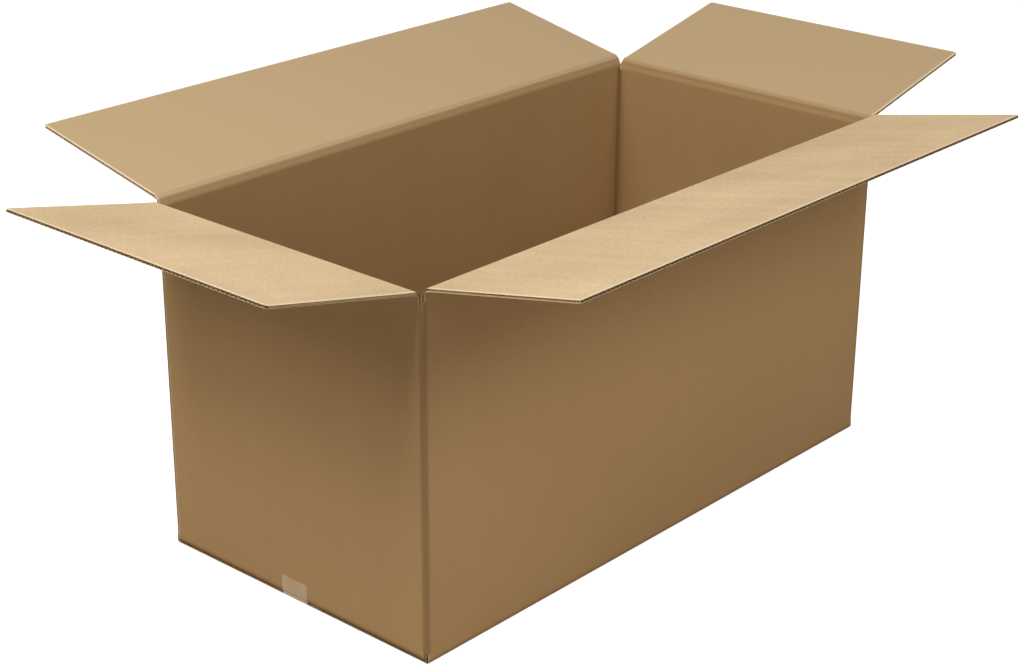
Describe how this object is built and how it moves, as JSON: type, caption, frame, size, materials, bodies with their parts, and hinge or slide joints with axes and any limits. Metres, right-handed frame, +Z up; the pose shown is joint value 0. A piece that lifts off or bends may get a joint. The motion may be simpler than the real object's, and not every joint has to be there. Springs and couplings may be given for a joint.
{
  "type": "open cardboard shipping box",
  "caption": "Large oblong slotted box of brown corrugated board, standing open with its four top flaps folded outward and its bottom taped.",
  "frame": {"origin": "centre of the base, where the bottom seam crosses the middle of the box, on the floor plane", "axes": "+X along the long side, +Y towards the back wall, +Z up; the front wall faces -Y and the left wall faces -X"},
  "size_m": [1.509, 1.0104, 0.5881],
  "materials": {
    "body_board": "plain brown kraft liner, matte",
    "flap_board": "plain brown kraft liner, matte, open flutes at the free edge",
    "tape": "tan packing tape, slightly glossy"
  },
  "bodies": {
    "box": {"box_body": "body_board", "bottom_tape": "tape"},
    "flap_front": {"flap_front": "flap_board"},
    "flap_back": {"flap_back": "flap_board"},
    "flap_left": {"flap_left": "flap_board"},
    "flap_right": {"flap_right": "flap_board"}
  },
  "joints": [
    {"name": "flap_front_fold", "type": "hinge", "parent": "box", "child": "flap_front", "pos_m": [0, -0.2555, 0.5306], "axis": [-1, 0, 0], "range_deg": [-96.6, 168.4]},
    {"name": "flap_back_fold", "type": "hinge", "parent": "box", "child": "flap_back", "pos_m": [0, 0.2555, 0.5306], "axis": [1, 0, 0], "range_deg": [-96.8, 168.2]},
    {"name": "flap_left_fold", "type": "hinge", "parent": "box", "child": "flap_left", "pos_m": [-0.5055, 0, 0.5248], "axis": [0, 1, 0], "range_deg": [-97.5, 167.5]},
    {"name": "flap_right_fold", "type": "hinge", "parent": "box", "child": "flap_right", "pos_m": [0.5055, 0, 0.5248], "axis": [0, -1, 0], "range_deg": [-97.5, 167.5]}
  ]
}
